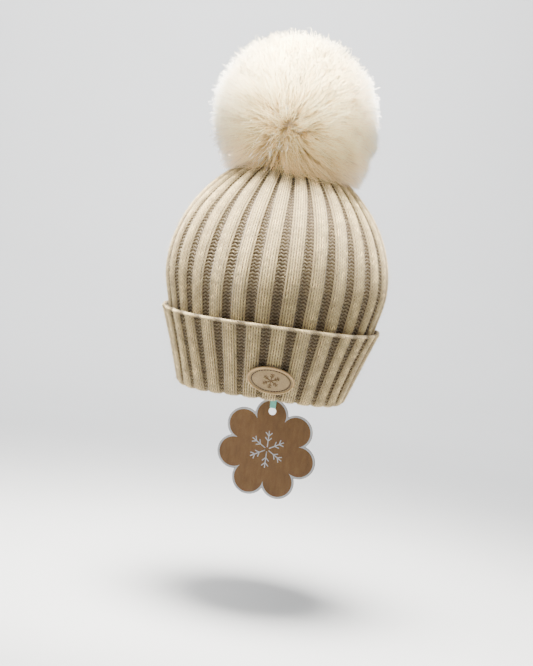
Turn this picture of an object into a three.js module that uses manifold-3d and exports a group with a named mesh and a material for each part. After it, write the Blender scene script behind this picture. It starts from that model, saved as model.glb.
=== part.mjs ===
// A child's rib-knit beanie with a turned-up cuff, a fleece lining, a removable faux-fur pom,
// a stitched patch and a swing tag. Millimetres, +Z up along the hat's axis, front towards -Y.
// The origin is the centre of the head opening, in the plane of the brim's lowest edge.
import * as THREE from 'three';
import { mergeVertices } from 'three/addons/utils/BufferGeometryUtils.js';
import Module from 'manifold-3d';

const wasm = await Module();
wasm.setup();

const { Vector2, Vector3 } = THREE;
const rad = THREE.MathUtils.degToRad;

// Clearances and facets
const GAP = 0.3; // between pieces that touch
const AROUND = 36; // facets round the hat
const FACET_TURN = rad(2.3); // turns the knit's facets, so that no edge lies on an axis
const AROUND_SMALL = 20; // facets round a snap part or a thread ring
const THREAD = 0.35; // radius of a sewing thread

// The knitted tube: cuff, fold, body and gathered crown are one piece
const KNIT = 4; // thickness of one layer
const LAYER_GAP = 0.6; // between the cuff and the body that it is turned up over
const FOLD_RADIUS = 61.4; // centre of the fold, which the head goes through
const CUFF_LEAN = rad(19.5); // how far the cuff and the body under it flare from upright
const CUFF_HEIGHT = 56; // along its slant
const BODY_RADIUS = 83; // middle of the knit at the widest height
const BODY_HEIGHT = 86; // the widest height
const CROWN_MIDDLE = 181; // middle of the knit at the top
const CROWN_HOLE = 5; // radius left open by the gathered loops
const FOLD_FLAT = rad(14); // half the angle of the fold's flat lowest facet

// The lining
const FLEECE = 1.5;
const LINING_GAP = 1.6; // room for the knit's seam
const LINING_HEM = 12; // height of its lower edge
const LINING_JOIN = 50; // height of the seam between band and gores
const LINING_TOP = CROWN_MIDDLE - 9.8; // middle of the fleece at the apex, under the snap
const LINING_FLAT = 22; // radius of its flat apex

// The patch, the care label and the swing tag
const PATCH_WIDTH = 35;
const PATCH_HEIGHT = 21;
const PATCH_THICK = 1.8;
const PATCH_RISE = 15; // up the cuff's slant from the fold
const PATCH_TURN = rad(-4); // lower at its +X end
const LABEL_WIDTH = 18;
const LABEL_DROP = 28;
const TAG_AZIMUTH = rad(-18); // from the back towards +X
const TAG_RADIUS = 52.2; // from the hat's axis to the hanging tag
const PIN_HEIGHT = 7;
const PIN_WIRE = 0.45;
const RIBBON_WIDTH = 5;
const RIBBON_THICK = 0.5;
const HOLE_HEIGHT = -21; // the punched hole's centre
const HOLE_RADIUS = 3.25;
const CARD_DROP = 31; // from the hole to the card's centre
const CARD_LOBES = 7;
const LOBE_RADIUS = 13.5;
const LOBE_REACH = 27.5; // from the card's centre to a lobe's centre
const CARD_THICK = 0.8;

// The snap and the pom
const CROWN_TOP = CROWN_MIDDLE + KNIT / 2;
const SNAP_RADIUS = 7;
const RIVET_RADIUS = 1.9;
const SPRING_RADIUS = 4.95;
const SPRING_WIRE = 0.4;
const POM_RADIUS = 63.5;
const POM_CENTRE = 211;
const POM_RISE = 63; // from its centre to its top
const POM_SKIRT = 80; // how far its lower half would reach if it closed
const POM_BOTTOM = 170;
const STUFFING_RADIUS = 26.5;
const STUFFING_CENTRE = 217;

const COLOURS = {
  knit: 0xc8bca5,
  fleece: 0xe9e2d2,
  fur: 0xf6ecd6,
  stuffing: 0xf4f4f0,
  thread: 0xc0b295,
  darkThread: 0x4a3524,
  leather: 0xbeaa82,
  satin: 0xf3f1ec,
  felt: 0xb9ad96,
  disc: 0xe6e2d8,
  brass: 0xb08d4f,
  nickel: 0xb9bcc0,
  ribbon: 0x6fc4b4,
  kraft: 0x9a7448,
};

const cloth = (color) => new THREE.MeshStandardMaterial({ color, roughness: 0.95, metalness: 0 });
const metal = (color) => new THREE.MeshStandardMaterial({ color, roughness: 0.3, metalness: 1 });

const hat = new THREE.Group();

function piece(name, geometry, material, parent = hat) {
  const mesh = new THREE.Mesh(geometry, material);
  mesh.name = name;
  parent.add(mesh);
  return mesh;
}

// ---- Outlines: lists of (radius, height) ----

// Moves an open line sideways, to its left as it runs, by a distance.
function offset(line, distance) {
  return line.map((point, i) => {
    const before = line[Math.max(i - 1, 0)];
    const after = line[Math.min(i + 1, line.length - 1)];
    const along = after.clone().sub(before).normalize();
    return new Vector2(point.x - along.y * distance, point.y + along.x * distance);
  });
}

// A strip of a given thickness round a middle line.
function strip(line, thickness) {
  return [...offset(line, thickness / 2), ...offset(line, -thickness / 2).reverse()];
}

function pointAtHeight(line, height) {
  const i = line.findIndex((point, k) => k > 0 && point.y >= height);
  const low = line[i - 1];
  const high = line[i];
  return low.clone().lerp(high, (height - low.y) / (high.y - low.y));
}

function between(line, low, high) {
  const inside = line.filter((point) => point.y > low && point.y < high);
  return [pointAtHeight(line, low), ...inside, pointAtHeight(line, high)];
}

// ---- Solids ----

// Turns an outline about Z. An outline that touches the axis starts and ends on it.
function turned(outline, segments = AROUND) {
  const clockwise = THREE.ShapeUtils.isClockWise(outline);
  const points = clockwise ? [...outline].reverse() : [...outline];
  if (points[0].x > 0) points.push(points[0].clone());
  return new THREE.LatheGeometry(points, segments).rotateX(Math.PI / 2);
}

const outlineOf = (...pairs) => pairs.map(([radius, height]) => new Vector2(radius, height));

function threadRing(radius, height, thickness = THREAD, sides = 5) {
  const section = Array.from({ length: sides }, (_, i) => {
    const angle = (2 * Math.PI * i) / sides;
    return new Vector2(radius + thickness * Math.cos(angle), height + thickness * Math.sin(angle));
  });
  return turned(section, AROUND);
}

function roundBar(points, radius, steps, sides = 8) {
  const section = new THREE.Shape().absarc(0, 0, radius, 0, 2 * Math.PI);
  const extrudePath = new THREE.CatmullRomCurve3(points);
  return new THREE.ExtrudeGeometry(section, { steps, extrudePath, curveSegments: sides / 2 });
}

function toManifold(geometry) {
  const bare = geometry.clone();
  bare.deleteAttribute('normal');
  bare.deleteAttribute('uv');
  const merged = mergeVertices(bare, 1e-4);
  return new wasm.Manifold(new wasm.Mesh({
    numProp: 3,
    vertProperties: new Float32Array(merged.attributes.position.array),
    triVerts: new Uint32Array(merged.index.array),
  }));
}

function fromManifold(manifold) {
  const { vertProperties, triVerts } = manifold.getMesh();
  const geometry = new THREE.BufferGeometry();
  geometry.setAttribute('position', new THREE.BufferAttribute(vertProperties, 3));
  geometry.setIndex(new THREE.BufferAttribute(triVerts, 1));
  return geometry;
}

const cut = (body, tool) => fromManifold(toManifold(body).subtract(toManifold(tool)));
const common = (body, tool) => fromManifold(toManifold(body).intersect(toManifold(tool)));

// Wraps a flat piece onto a cone: x runs round it, y up its slant and z out from its surface.
function wrapOnCone(geometry, { azimuth, radius, height, lean }) {
  const position = geometry.attributes.position;
  for (let i = 0; i < position.count; i += 1) {
    const along = position.getX(i);
    const up = position.getY(i);
    const out = position.getZ(i);
    const reach = radius + up * Math.sin(lean) + out * Math.cos(lean);
    const angle = azimuth + along / radius;
    const rise = height + up * Math.cos(lean) - out * Math.sin(lean);
    position.setXYZ(i, reach * Math.cos(angle), reach * Math.sin(angle), rise);
  }
  return geometry;
}

// ---- The knit's middle line ----

const slant = new Vector2(Math.sin(CUFF_LEAN), Math.cos(CUFF_LEAN));
const outward = new Vector2(Math.cos(CUFF_LEAN), -Math.sin(CUFF_LEAN));
const TURN_RADIUS = (KNIT + LAYER_GAP) / 2;
const FOLD_HEIGHT = (TURN_RADIUS + KNIT / 2) * Math.cos(FOLD_FLAT);

// A point on the cuff or, with a negative distance, on the body's flare: a distance out from
// the fold's centre line and another up the slant.
function onSlant(out, up) {
  return new Vector2(FOLD_RADIUS, FOLD_HEIGHT).addScaledVector(outward, out).addScaledVector(slant, up);
}

function foldArc() {
  const start = -CUFF_LEAN;
  const end = start - Math.PI;
  const bottom = -Math.PI / 2;
  const angles = [
    start,
    (start + bottom) / 2,
    bottom + FOLD_FLAT,
    bottom - FOLD_FLAT,
    (2 * bottom + end) / 3,
    (bottom + 2 * end) / 3,
    end,
  ];
  return angles.map((angle) => new Vector2(
    FOLD_RADIUS + TURN_RADIUS * Math.cos(angle),
    FOLD_HEIGHT + TURN_RADIUS * Math.sin(angle),
  ));
}

// From the top of the flare over the widest height to the gathered crown.
function bodyCurve() {
  const flareTop = onSlant(-TURN_RADIUS, CUFF_HEIGHT + 1);
  const shape = new THREE.SplineCurve([
    flareTop,
    new Vector2(BODY_RADIUS, BODY_HEIGHT),
    new Vector2(79.7, 112),
    new Vector2(69, 137),
    new Vector2(51, 158.5),
    new Vector2(30, 173.5),
    new Vector2(13, 180),
    new Vector2(CROWN_HOLE, CROWN_MIDDLE),
  ]);
  return shape.getPoints(13);
}

const cuffLine = [onSlant(TURN_RADIUS, CUFF_HEIGHT), onSlant(TURN_RADIUS, CUFF_HEIGHT / 2)];
const bodyLine = bodyCurve();

// ---- Parts of the hat itself ----

function pinPath() {
  const wall = FOLD_RADIUS - 1.4; // middle of the body's knit at the pin's height
  return [
    new Vector3(-10.2, TAG_RADIUS, PIN_HEIGHT),
    new Vector3(-6, TAG_RADIUS, PIN_HEIGHT),
    new Vector3(0, TAG_RADIUS, PIN_HEIGHT),
    new Vector3(6, TAG_RADIUS, PIN_HEIGHT),
    new Vector3(9.6, TAG_RADIUS + 0.4, PIN_HEIGHT),
    new Vector3(10.6, TAG_RADIUS + 2, PIN_HEIGHT),
    new Vector3(8.6, TAG_RADIUS + 4.2, PIN_HEIGHT),
    new Vector3(4.6, wall - 1, PIN_HEIGHT),
    new Vector3(0, wall, PIN_HEIGHT),
    new Vector3(-4.6, wall - 1, PIN_HEIGHT),
    new Vector3(-7, TAG_RADIUS + 3.6, PIN_HEIGHT),
    new Vector3(-8.6, TAG_RADIUS + 2, PIN_HEIGHT),
    new Vector3(-10.2, TAG_RADIUS + 1.7, PIN_HEIGHT),
  ];
}

function knitTube() {
  const middle = [...cuffLine, ...foldArc(), ...bodyLine];
  const tube = turned(strip(middle, KNIT)).rotateZ(FACET_TURN);
  const tunnel = roundBar(pinPath(), PIN_WIRE + GAP, 36).rotateZ(TAG_AZIMUTH);
  return cut(tube, tunnel);
}

function backSeamThread() {
  const line = offset(bodyLine, KNIT / 2 + LINING_GAP / 2);
  const flare = onSlant(-TURN_RADIUS - KNIT / 2 - LINING_GAP / 2, LINING_HEM + 5);
  const seam = [flare, ...line.filter((point) => point.x > LINING_FLAT && point.y > CUFF_HEIGHT)];
  return roundBar(seam.map((point) => new Vector3(0, point.x, point.y)), THREAD, 20, 6);
}

// ---- Lining ----

const liningLine = offset(
  [onSlant(-TURN_RADIUS, 0), ...bodyLine],
  KNIT / 2 + LINING_GAP + FLEECE / 2,
).filter((point) => point.x > LINING_FLAT);
liningLine.push(new Vector2(LINING_FLAT - 4, LINING_TOP));

function liningBand() {
  return turned(strip(between(liningLine, LINING_HEM, LINING_JOIN), FLEECE));
}

// The dome above the band, whose outline runs in to the axis at its apex.
function liningDome() {
  const start = pointAtHeight(liningLine, LINING_JOIN + GAP);
  const above = liningLine.filter((point) => point.y > LINING_JOIN + 2 || point.x < LINING_FLAT);
  const line = [start, ...above, new Vector2(0, LINING_TOP)];
  const outline = strip(line, FLEECE);
  outline.forEach((point) => {
    if (Math.abs(point.x) < 0.01) point.x = 0;
  });
  return turned(outline);
}

function liningGore(dome, quarter) {
  const side = 2 * BODY_RADIUS;
  const quadrant = new THREE.BoxGeometry(side, side, side * 2)
    .translate((side + GAP) / 2, (side + GAP) / 2, side)
    .rotateZ(quarter * Math.PI / 2);
  return common(dome, quadrant);
}

// A seam thread inside the lining, from one side over the apex to the other.
function goreThread(drop) {
  const depth = FLEECE / 2 + GAP + THREAD + drop;
  const line = offset(liningLine, depth).filter((point) => point.y > LINING_JOIN + 3);
  const right = line.map((point) => new Vector3(point.x, 0, point.y));
  const left = line.map((point) => new Vector3(-point.x, 0, point.y)).reverse();
  const apex = new Vector3(0, 0, LINING_TOP - depth);
  return roundBar([...right, apex, ...left], THREAD, 32, 6);
}

function liningThread(height) {
  const inner = pointAtHeight(liningLine, height).x - FLEECE / 2 / Math.cos(CUFF_LEAN);
  return threadRing(inner - GAP - 1.2 * THREAD, height);
}

function careLabel() {
  const layer = 0.4;
  const thick = 2 * layer + GAP;
  const hairpin = new THREE.Shape([
    new Vector2(0, 0),
    new Vector2(thick, 0),
    new Vector2(thick, LABEL_DROP),
    new Vector2(thick - layer, LABEL_DROP),
    new Vector2(thick - layer, layer),
    new Vector2(layer, layer),
    new Vector2(layer, LABEL_DROP),
    new Vector2(0, LABEL_DROP),
  ]);
  const folded = new THREE.ExtrudeGeometry(hairpin, { depth: LABEL_WIDTH, steps: 6, bevelEnabled: false })
    .translate(-thick, -LABEL_DROP, -LABEL_WIDTH / 2)
    .rotateY(-Math.PI / 2);
  const top = pointAtHeight(liningLine, LINING_JOIN - 1.5);
  return wrapOnCone(folded.rotateY(Math.PI).translate(0, 0, -thick - GAP), {
    azimuth: Math.PI / 2,
    radius: top.x - FLEECE / 2 / Math.cos(CUFF_LEAN),
    height: top.y,
    lean: CUFF_LEAN,
  });
}

// ---- Patch ----

function patchSeat() {
  const seat = onSlant(TURN_RADIUS + KNIT / 2 + GAP, PATCH_RISE);
  return { azimuth: -Math.PI / 2, radius: seat.x, height: seat.y, lean: CUFF_LEAN };
}

function patch() {
  const rim = 1;
  const edge = 0.05; // bevel, as a share of the patch
  const disc = turned(outlineOf(
    [0, 0],
    [rim / 3, 0],
    [rim * 2 / 3, 0],
    [rim, 0],
    [rim, PATCH_THICK / 2],
    [rim - edge, PATCH_THICK],
    [rim * 2 / 3, PATCH_THICK],
    [rim / 3, PATCH_THICK],
    [0, PATCH_THICK],
  ), 36);
  disc.scale(PATCH_WIDTH / 2, PATCH_HEIGHT / 2, 1).rotateZ(PATCH_TURN);
  return wrapOnCone(disc, patchSeat());
}

function patchThread() {
  const inset = 2.2;
  const ring = threadRing(PATCH_HEIGHT / 2 - inset, PATCH_THICK + GAP + THREAD);
  const stretch = (PATCH_WIDTH / 2 - inset) / (PATCH_HEIGHT / 2 - inset);
  ring.scale(stretch, 1, 1).rotateZ(PATCH_TURN);
  return wrapOnCone(ring, patchSeat());
}

// ---- Swing tag, in a frame turned to its place at the back ----

function pinCap() {
  const shell = new THREE.BoxGeometry(4, 4.4, 2.6).translate(-10.8, TAG_RADIUS + 0.9, PIN_HEIGHT);
  const room = new THREE.BoxGeometry(4, 3.4, 1.6).translate(-10.2, TAG_RADIUS + 0.9, PIN_HEIGHT);
  return cut(shell, room);
}

// A closed loop of ribbon: over the pin's wire at the top and through the card's hole below.
function ribbonLoop() {
  const inner = PIN_WIRE + GAP;
  const outer = inner + RIBBON_THICK;
  const low = HOLE_HEIGHT + (inner + outer) / 2;
  const loop = new THREE.Shape()
    .absarc(0, PIN_HEIGHT, outer, 0, Math.PI)
    .absarc(0, low, outer, Math.PI, 2 * Math.PI);
  const inside = new THREE.Path()
    .absarc(0, PIN_HEIGHT, inner, 0, Math.PI)
    .absarc(0, low, inner, Math.PI, 2 * Math.PI);
  loop.holes.push(inside);
  return new THREE.ExtrudeGeometry(loop, { depth: RIBBON_WIDTH, bevelEnabled: false, curveSegments: 8 })
    .rotateX(Math.PI / 2)
    .rotateZ(Math.PI / 2)
    .translate(-RIBBON_WIDTH / 2, TAG_RADIUS, 0);
}

// A round card with scalloped edges, hung by a hole in its top lobe.
function tagCard() {
  const centre = HOLE_HEIGHT - CARD_DROP;
  const step = (2 * Math.PI) / CARD_LOBES;
  const spread = step / 2 + Math.asin((LOBE_REACH / LOBE_RADIUS) * Math.sin(step / 2));
  const card = new THREE.Shape();
  for (let i = 0; i < CARD_LOBES; i += 1) {
    const angle = Math.PI / 2 + i * step;
    const x = LOBE_REACH * Math.cos(angle);
    const y = centre + LOBE_REACH * Math.sin(angle);
    card.absarc(x, y, LOBE_RADIUS, angle - spread, angle + spread);
  }
  card.holes.push(new THREE.Path().absarc(0, HOLE_HEIGHT, HOLE_RADIUS, 0, 2 * Math.PI));
  return new THREE.ExtrudeGeometry(card, { depth: CARD_THICK, bevelEnabled: false, curveSegments: 10 })
    .rotateX(Math.PI / 2)
    .translate(0, TAG_RADIUS + CARD_THICK / 2, 0);
}

// ---- Snap, stacked on the crown ----

const snap = {
  feltBottom: CROWN_TOP - 8.2,
  feltTop: CROWN_TOP - 7,
  socketBottom: CROWN_TOP + 1.6, // clear of the crown as the socket tips
  socketTop: CROWN_TOP + 5.2,
  spring: CROWN_TOP + 4.1,
  studBottom: CROWN_TOP + 3.5,
  studTop: CROWN_TOP + 6.4,
  discBottom: CROWN_TOP + 9,
  discTop: CROWN_TOP + 10.4,
};
const SHEET = 0.8; // thickness of the snap's pressed metal
const RIVET_HOLE = RIVET_RADIUS + GAP;
const SOCKET_BORE = 4.6;
const GROOVE_RADIUS = SPRING_RADIUS + SPRING_WIRE + 0.65;
const GROOVE_HALF = SPRING_WIRE + GAP;

function washer(outer, bottom, top) {
  return turned(outlineOf(
    [RIVET_HOLE, bottom],
    [outer, bottom],
    [outer, top],
    [RIVET_HOLE, top],
  ), AROUND_SMALL);
}

function socketCap() {
  const bottom = snap.feltBottom - GAP - SHEET;
  const clench = snap.socketBottom + SHEET + GAP;
  return turned(outlineOf(
    [0, bottom],
    [SNAP_RADIUS, bottom],
    [SNAP_RADIUS, bottom + SHEET],
    [RIVET_RADIUS, bottom + SHEET],
    [RIVET_RADIUS, clench],
    [3, clench],
    [3, clench + 0.5],
    [0, clench + 0.5],
  ), AROUND_SMALL);
}

function snapSocket() {
  return turned(outlineOf(
    [RIVET_HOLE, snap.socketBottom],
    [SNAP_RADIUS, snap.socketBottom],
    [SNAP_RADIUS, snap.socketTop],
    [SOCKET_BORE, snap.socketTop],
    [SOCKET_BORE, snap.spring + GROOVE_HALF],
    [GROOVE_RADIUS, snap.spring + GROOVE_HALF],
    [GROOVE_RADIUS, snap.spring - GROOVE_HALF],
    [SOCKET_BORE, snap.spring - GROOVE_HALF],
    [SOCKET_BORE, snap.socketBottom + SHEET],
    [RIVET_HOLE, snap.socketBottom + SHEET],
  ), AROUND_SMALL);
}

// A split ring that grips the stud's neck.
function snapSpring() {
  const mouth = rad(12);
  const turns = Array.from({ length: 19 }, (_, i) => {
    const angle = mouth + ((2 * Math.PI - 2 * mouth) * i) / 18;
    return new Vector3(SPRING_RADIUS * Math.cos(angle), SPRING_RADIUS * Math.sin(angle), snap.spring);
  });
  return roundBar(turns, SPRING_WIRE, 20, 6);
}

function snapStud() {
  const head = 4.1;
  const neck = 3.4;
  return turned(outlineOf(
    [0, snap.studBottom],
    [head, snap.studBottom],
    [head, snap.studBottom + 0.6],
    [neck, snap.studBottom + 1],
    [neck, snap.studTop - SHEET],
    [SNAP_RADIUS, snap.studTop - SHEET],
    [SNAP_RADIUS, snap.studTop],
    [RIVET_HOLE, snap.studTop],
    [RIVET_HOLE, snap.studBottom + 0.7],
    [0, snap.studBottom + 0.7],
  ), AROUND_SMALL);
}

function studCap() {
  const flange = snap.discTop + GAP;
  return turned(outlineOf(
    [0, snap.studBottom + 1],
    [RIVET_RADIUS, snap.studBottom + 1],
    [RIVET_RADIUS, flange],
    [SNAP_RADIUS, flange],
    [SNAP_RADIUS, flange + SHEET],
    [0, flange + SHEET],
  ), AROUND_SMALL);
}

// ---- Pom ----

// The outside of the fur: a dome above its widest height and a longer skirt that drapes below.
function furOutside() {
  const dome = Array.from({ length: 9 }, (_, i) => {
    const angle = (Math.PI / 2) * (i / 8);
    return new Vector2(POM_RADIUS * Math.sin(angle), POM_CENTRE + POM_RISE * Math.cos(angle));
  });
  dome[0].x = 0;
  const skirt = [1 / 3, 2 / 3, 1].map((share) => {
    const drop = (POM_CENTRE - POM_BOTTOM) * share;
    return new Vector2(POM_RADIUS * Math.sqrt(1 - (drop / POM_SKIRT) ** 2), POM_CENTRE - drop);
  });
  return [...dome, ...skirt];
}

// Under the pom the fur parts over the crown, with room for the pom to tip.
function furUnderside() {
  return outlineOf(
    [47, POM_BOTTOM + 2.5],
    [40, CROWN_TOP - 6],
    [30, CROWN_TOP - 1.5],
    [12, snap.studTop + GAP],
    [RIVET_HOLE, snap.studTop + GAP],
  );
}

// The hollow that holds the base disc and the stuffing.
function peltInside() {
  const floor = snap.discBottom - GAP;
  const radius = STUFFING_RADIUS + 0.5;
  const discRoom = 17;
  const rim = -Math.acos(discRoom / radius);
  const ball = Array.from({ length: 9 }, (_, i) => {
    const angle = rim + ((Math.PI / 2 - rim) * i) / 8;
    return new Vector2(radius * Math.cos(angle), STUFFING_CENTRE + radius * Math.sin(angle));
  });
  ball[8].x = 0;
  return [new Vector2(RIVET_HOLE, floor), new Vector2(discRoom, floor), ...ball];
}

function pomFur() {
  return turned([...furOutside(), ...furUnderside(), ...peltInside()], 32);
}

function pomStuffing() {
  const floor = snap.discTop + GAP + SHEET + GAP;
  const lowest = Math.asin((floor - STUFFING_CENTRE) / STUFFING_RADIUS);
  const ball = Array.from({ length: 9 }, (_, i) => {
    const angle = lowest + ((Math.PI / 2 - lowest) * i) / 8;
    return new Vector2(
      STUFFING_RADIUS * Math.cos(angle),
      STUFFING_CENTRE + STUFFING_RADIUS * Math.sin(angle),
    );
  });
  ball[8].x = 0;
  return turned([new Vector2(0, floor), ...ball], AROUND_SMALL);
}

// ---- Assembly ----

piece('knit_tube', knitTube(), cloth(COLOURS.knit));
piece('crown_gather_thread', threadRing(13, CROWN_TOP - 6.2, 0.5), cloth(COLOURS.knit));
piece('back_seam_thread', backSeamThread(), cloth(COLOURS.thread));

piece('lining_band', liningBand(), cloth(COLOURS.fleece));
const dome = liningDome();
['front_right', 'back_right', 'back_left', 'front_left'].forEach((side, i) => {
  piece(`lining_gore_${side}`, liningGore(dome, i - 1), cloth(COLOURS.fleece));
});
piece('lining_hem_thread', liningThread(LINING_HEM + 1.5), cloth(COLOURS.thread));
piece('lining_join_thread', liningThread(LINING_JOIN), cloth(COLOURS.thread));
piece('gore_thread_side_to_side', goreThread(0), cloth(COLOURS.thread));
piece('gore_thread_front_to_back', goreThread(2.5 * THREAD).rotateZ(Math.PI / 2), cloth(COLOURS.thread));
piece('care_label', careLabel(), cloth(COLOURS.satin));

piece('patch', patch(), cloth(COLOURS.leather));
piece('patch_thread', patchThread(), cloth(COLOURS.darkThread));

const hangingTag = new THREE.Group();
hangingTag.rotation.z = TAG_AZIMUTH;
hat.add(hangingTag);
piece('tag_pin_wire', roundBar(pinPath(), PIN_WIRE, 36), metal(COLOURS.brass), hangingTag);
piece('tag_pin_cap', pinCap(), metal(COLOURS.brass), hangingTag);
piece('tag_ribbon', ribbonLoop(), cloth(COLOURS.ribbon), hangingTag);
piece('tag_card', tagCard(), cloth(COLOURS.kraft), hangingTag);

piece('crown_backing_disc', washer(10, snap.feltBottom, snap.feltTop), cloth(COLOURS.felt));
piece('snap_socket_cap', socketCap(), metal(COLOURS.nickel));
piece('snap_socket', snapSocket(), metal(COLOURS.nickel));
piece('snap_spring', snapSpring(), metal(COLOURS.nickel));
piece('snap_stud', snapStud(), metal(COLOURS.nickel));
piece('snap_stud_cap', studCap(), metal(COLOURS.nickel));

piece('pom_base_disc', washer(16, snap.discBottom, snap.discTop), cloth(COLOURS.disc));
piece('pom_fur', pomFur(), cloth(COLOURS.fur));
piece('pom_stuffing', pomStuffing(), cloth(COLOURS.stuffing));
piece('pom_drawstring', threadRing(9, snap.studTop - 0.5, 0.4), cloth(COLOURS.thread));

export default hat;
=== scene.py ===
"""A child's pom pom beanie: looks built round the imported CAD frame. Lengths are in metres.

The knit is made stitch by stitch: every course is one yarn that runs round the hat and loops
through its neighbours, forwards in the ribs and backwards in the valleys between them. The pom
is combed fur, strand by strand, over a short undercoat.
"""

import math

import bpy
import numpy as np
from mathutils import Matrix, Vector
from mathutils.kdtree import KDTree


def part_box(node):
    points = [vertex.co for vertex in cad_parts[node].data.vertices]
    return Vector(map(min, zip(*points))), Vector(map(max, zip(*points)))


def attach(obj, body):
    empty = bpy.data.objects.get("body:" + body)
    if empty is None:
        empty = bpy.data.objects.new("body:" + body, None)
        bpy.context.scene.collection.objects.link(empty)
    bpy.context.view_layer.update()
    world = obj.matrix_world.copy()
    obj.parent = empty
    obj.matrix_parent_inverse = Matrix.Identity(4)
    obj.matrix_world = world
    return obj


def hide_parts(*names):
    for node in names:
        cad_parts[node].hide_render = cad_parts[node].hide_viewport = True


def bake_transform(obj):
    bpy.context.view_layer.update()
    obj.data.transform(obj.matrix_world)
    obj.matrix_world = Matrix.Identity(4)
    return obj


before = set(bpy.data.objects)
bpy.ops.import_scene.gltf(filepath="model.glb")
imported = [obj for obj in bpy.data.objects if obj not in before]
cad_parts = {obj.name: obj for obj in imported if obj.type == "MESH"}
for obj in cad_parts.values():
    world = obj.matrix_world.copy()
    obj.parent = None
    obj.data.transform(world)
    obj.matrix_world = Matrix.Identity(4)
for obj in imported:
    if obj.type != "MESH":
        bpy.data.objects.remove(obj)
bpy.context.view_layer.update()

MM = 0.001
TAU = 2 * math.pi
FRONT = np.array([0, -1, 0])
random = np.random.default_rng(7)

# The knitted tube, laid out as in the CAD model
KNIT = 4.0 * MM  # thickness of one layer
LAYER_GAP = 0.6 * MM  # between the cuff and the body
FOLD_RADIUS = 61.4 * MM
LEAN = math.radians(19.5)
CUFF_HEIGHT = 56.0 * MM
TURN = (KNIT + LAYER_GAP) / 2  # radius of the fold's middle line
FOLD_HEIGHT = (TURN + KNIT / 2) * math.cos(math.radians(14))
CROWN_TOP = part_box("knit_tube")[1][2]
CROWN_MIDDLE = CROWN_TOP - KNIT / 2
BODY_SHAPE = [  # radius and height of the knit's middle line above the cuff
    (83 * MM, 86 * MM),
    (79.7 * MM, 112 * MM),
    (69 * MM, 137 * MM),
    (51 * MM, 158.5 * MM),
    (30 * MM, 173.5 * MM),
    (13 * MM, 180 * MM),
    (5 * MM, CROWN_MIDDLE),
]

# The rib and its yarn
RIBS = 28
KNIT_WALES = 3
PURL_WALES = 2
WALES = KNIT_WALES + PURL_WALES
PITCH = TAU * 84 * MM / RIBS  # of a relaxed rib
COURSE = 2.7 * MM  # height of a stitch
LOOP = 1.2 * COURSE  # how far a loop reaches above and below its course
YARN = 0.56 * MM  # radius
RIB_DEPTH = 3.1 * MM
STRAND_UP = np.array([0.3, 0.2, 0.93])  # the ups of fine fibres' tubes

# The lining
FLEECE = 1.5 * MM
LINING_GAP = 1.6 * MM
LINING_HEM = 12.0 * MM
LINING_JOIN = 50.0 * MM
LINING_TOP = CROWN_MIDDLE - 9.8 * MM
LINING_FLAT = 22.0 * MM

# The patch, wrapped on the cuff
PATCH_WIDTH = 35.0 * MM
PATCH_HEIGHT = 21.0 * MM
PATCH_THICK = 1.8 * MM
PATCH_RISE = 15.0 * MM
PATCH_TURN = math.radians(-4)
PATCH_GROOVE = 0.8  # where its stitched groove runs, from 0 at the centre to 1 at the edge
TWIGS = (0.45, 0.72)  # where twigs leave a snowflake's arm

# The swing tag, in a frame turned about Z to its place at the back
TAG_AZIMUTH = math.radians(-18)
TAG_RADIUS = 52.2 * MM
PIN_HEIGHT = 7.0 * MM
RIBBON_WIDTH = 5.0 * MM
RIBBON_THICK = 0.5 * MM
HOLE_HEIGHT = -21.0 * MM
HOLE_RADIUS = 3.25 * MM
CARD_DROP = 31.0 * MM
CARD_HEIGHT = HOLE_HEIGHT - CARD_DROP
CARD_LOBES = 7
LOBE_RADIUS = 13.5 * MM
LOBE_REACH = 27.5 * MM
CARD_THICK = 0.8 * MM

# The pom
POM_CENTRE = np.array([0, 0, 211.0]) * MM
POM_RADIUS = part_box("pom_fur")[1][0]
POM_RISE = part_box("pom_fur")[1][2] - POM_CENTRE[2]
POM_SKIRT = 80.0 * MM
PARTING = np.array([-0.3, -0.88, -0.36])  # where the fur parts, towards the front


# ------ camera, light and floor

PICTURE_HEIGHT = 512.15 * MM  # what the picture's height spans at the hat
DISTANCE = 1.3
AZIMUTH = math.radians(-5)
ELEVATION = math.radians(5)
ROLL = math.radians(8)
ORIGIN_RIGHT = -4.6 * MM  # where the brim's centre lies from the picture's middle
ORIGIN_UP = -44.6 * MM


def make_camera():
    data = bpy.data.cameras.new("camera")
    data.sensor_width = 36
    data.lens = DISTANCE / PICTURE_HEIGHT * data.sensor_width
    camera = bpy.data.objects.new("camera", data)
    bpy.context.collection.objects.link(camera)
    level = Matrix.Rotation(AZIMUTH, 3, "Z") @ Matrix.Rotation(math.pi / 2 - ELEVATION, 3, "X")
    axes = level @ Matrix.Rotation(ROLL, 3, "Z")
    camera.rotation_euler = axes.to_euler()
    camera.location = axes @ Vector((-ORIGIN_RIGHT, -ORIGIN_UP, DISTANCE))
    bpy.context.scene.camera = camera


def area_light(name, place, target, size, power, colour=(1, 1, 1), spread=180):
    data = bpy.data.lights.new(name, "AREA")
    data.shape = "DISK"
    data.size = size
    data.energy = power
    data.color = colour
    data.spread = math.radians(spread)
    light = bpy.data.objects.new(name, data)
    bpy.context.collection.objects.link(light)
    light.location = place
    light.visible_camera = False
    light.rotation_euler = (Vector(place) - Vector(target)).to_track_quat("Z", "Y").to_euler()


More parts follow.
